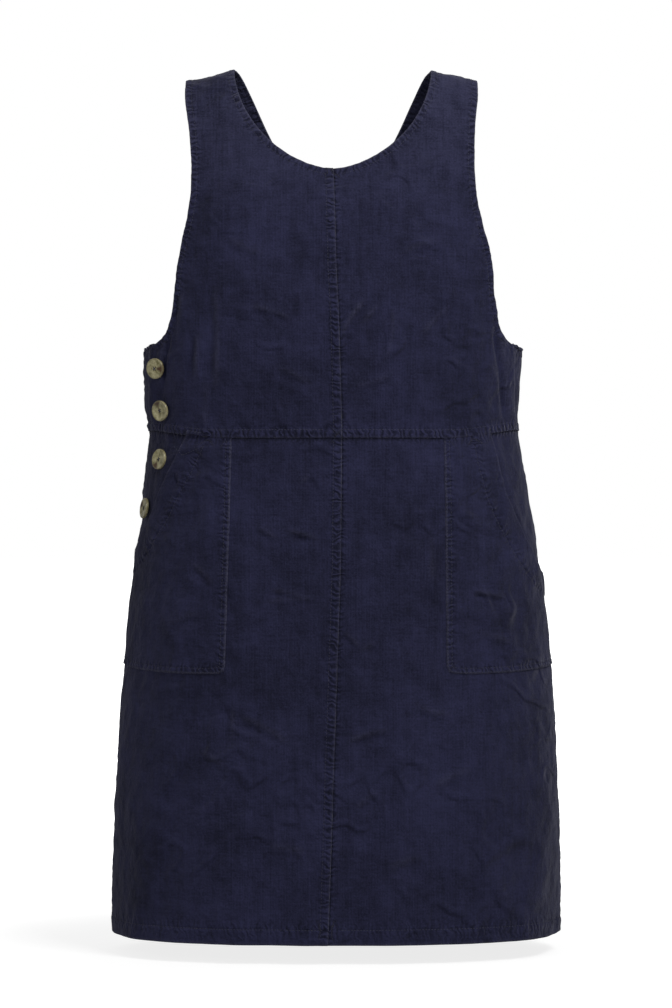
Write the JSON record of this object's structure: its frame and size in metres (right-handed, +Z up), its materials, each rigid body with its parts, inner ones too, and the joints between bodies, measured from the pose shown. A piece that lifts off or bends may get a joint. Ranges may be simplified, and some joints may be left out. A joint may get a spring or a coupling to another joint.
{
  "type": "pinafore dress",
  "caption": "Sleeveless needlecord pinafore dress with round neck, crossed back straps, patch pockets with slanting mouths and a buttoned side opening, in its worn hollow form.",
  "frame": {"origin": "on the shoulder line, midway between the two straps, where the wearer's shoulders hold the dress", "axes": "+Z up; the front of the dress faces -Y; +X is the wearer's left"},
  "size_m": [0.493, 0.2936, 0.9489],
  "materials": {
    "needlecord": "washed navy cotton needlecord, matt with a soft nap, paler where seams rub",
    "horn_resin": "satin cream horn resin with a brown mottle"
  },
  "bodies": {
    "root": {"bodice_front_left": "needlecord", "bodice_front_right": "needlecord", "bodice_back": "needlecord", "strap_left": "needlecord", "strap_right": "needlecord", "skirt_front_left": "needlecord", "skirt_front_right": "needlecord", "skirt_back": "needlecord", "pocket_left": "needlecord", "pocket_right": "needlecord", "button_stand": "needlecord", "button_1": "horn_resin", "button_2": "horn_resin", "button_3": "horn_resin", "button_4": "horn_resin"}
  },
  "joints": []
}
